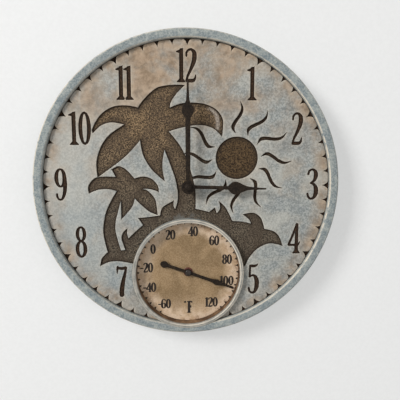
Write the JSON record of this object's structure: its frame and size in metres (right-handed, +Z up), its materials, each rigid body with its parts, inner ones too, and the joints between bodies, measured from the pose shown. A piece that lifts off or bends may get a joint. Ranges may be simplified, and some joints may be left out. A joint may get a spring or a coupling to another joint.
{
  "type": "outdoor wall clock",
  "caption": "Round cast wall clock with a sunk palm beach scene, dark hands over a geared quartz movement, and a dial thermometer set in below the middle.",
  "frame": {"origin": "middle of the clock's overall box: on the hands' axis, halfway between the wall plane and the tip of the cap nut", "axes": "+Z up, +X to the viewer's right, -Y out of the face towards the viewer, so +Y points into the wall"},
  "size_m": [0.305, 0.0426, 0.305],
  "materials": {
    "cast_stone": "mottled blue grey cast resin stone, matt, with a worn pale edge and dark bronze in the sunk scene",
    "hand_metal": "dark bronze paint, satin",
    "dial_print": "tan and cream print on sheet metal, satin",
    "brass": "dull brass",
    "steel": "zinc plated",
    "bimetal": "plain rolled strip",
    "copper": "enamelled copper wire",
    "black_plastic": "moulded black plastic",
    "white_plastic": "natural moulded plastic",
    "board": "green circuit board",
    "magnet": "sintered magnet",
    "battery_sleeve": "plain printed sleeve with bare ends",
    "rubber": "matt rubber"
  },
  "bodies": {
    "case": {"case_shell": "cast_stone", "hanger_plate": "steel", "hanger_screw_left": "steel", "hanger_screw_right": "steel", "thermometer_dial": "dial_print", "thermometer_eyelet": "brass", "thermometer_cup": "steel", "coil_bridge": "brass", "bimetal_coil": "bimetal", "movement_rear": "black_plastic", "movement_front": "black_plastic", "middle_plate": "white_plastic", "stator": "steel", "coil_core": "steel", "coil_spool": "black_plastic", "coil_winding": "copper", "circuit_board": "board", "chip": "black_plastic", "quartz_crystal": "steel", "contact_plus": "steel", "contact_minus": "steel", "gasket": "rubber", "washer": "brass", "hex_nut": "brass"},
    "minute": {"minute_arbor": "steel", "minute_hand": "hand_metal", "cap_nut": "hand_metal"},
    "hour": {"hour_wheel": "white_plastic", "hour_hand": "hand_metal"},
    "setting": {"minute_wheel": "white_plastic", "set_knob": "black_plastic"},
    "rotor": {"rotor": "magnet"},
    "fifth": {"fifth_wheel": "white_plastic"},
    "seconds": {"seconds_wheel": "white_plastic"},
    "third": {"third_wheel": "white_plastic"},
    "centre": {"centre_wheel": "brass"},
    "pointer": {"thermometer_shaft": "steel", "thermometer_pointer": "hand_metal", "pointer_cap": "black_plastic"},
    "battery": {"battery": "battery_sleeve"}
  },
  "joints": [
    {"name": "minute_turn", "type": "hinge", "parent": "case", "child": "minute", "pos_m": [0, 0, 0], "axis": [0, 1, 0], "continuous": true},
    {"name": "hour_turn", "type": "hinge", "parent": "case", "child": "hour", "pos_m": [0, 0, 0], "axis": [0, 1, 0], "continuous": true},
    {"name": "setting_turn", "type": "hinge", "parent": "case", "child": "setting", "pos_m": [0.01014, 0, 0.00272], "axis": [0, 1, 0], "continuous": true},
    {"name": "rotor_turn", "type": "hinge", "parent": "case", "child": "rotor", "pos_m": [0.0105, 0, 0.01261], "axis": [0, 1, 0], "continuous": true},
    {"name": "fifth_turn", "type": "hinge", "parent": "case", "child": "fifth", "pos_m": [0.00261, 0, 0.00974], "axis": [0, 1, 0], "continuous": true},
    {"name": "seconds_turn", "type": "hinge", "parent": "case", "child": "seconds", "pos_m": [0, 0, 0], "axis": [0, 1, 0], "continuous": true},
    {"name": "third_turn", "type": "hinge", "parent": "case", "child": "third", "pos_m": [-0.00974, 0, 0.00261], "axis": [0, 1, 0], "continuous": true},
    {"name": "centre_turn", "type": "hinge", "parent": "case", "child": "centre", "pos_m": [0, 0, 0], "axis": [0, 1, 0], "continuous": true},
    {"name": "pointer_turn", "type": "hinge", "parent": "case", "child": "pointer", "pos_m": [0, 0, -0.0902], "axis": [0, 1, 0], "range_deg": [-252, 32], "stiffness_Nm_per_rad": 0.001},
    {"name": "battery_slide", "type": "slide", "parent": "case", "child": "battery", "axis": [0, 1, 0], "range_m": [0, 0.018]}
  ],
  "couplings": [
    {"joint": "hour_turn", "follows": "minute_turn", "ratio": 0.083333},
    {"joint": "setting_turn", "follows": "minute_turn", "ratio": -0.33333},
    {"joint": "fifth_turn", "follows": "rotor_turn", "ratio": -0.2},
    {"joint": "seconds_turn", "follows": "rotor_turn", "ratio": 0.033333},
    {"joint": "third_turn", "follows": "rotor_turn", "ratio": -0.0044444},
    {"joint": "centre_turn", "follows": "rotor_turn", "ratio": 0.00055556}
  ]
}
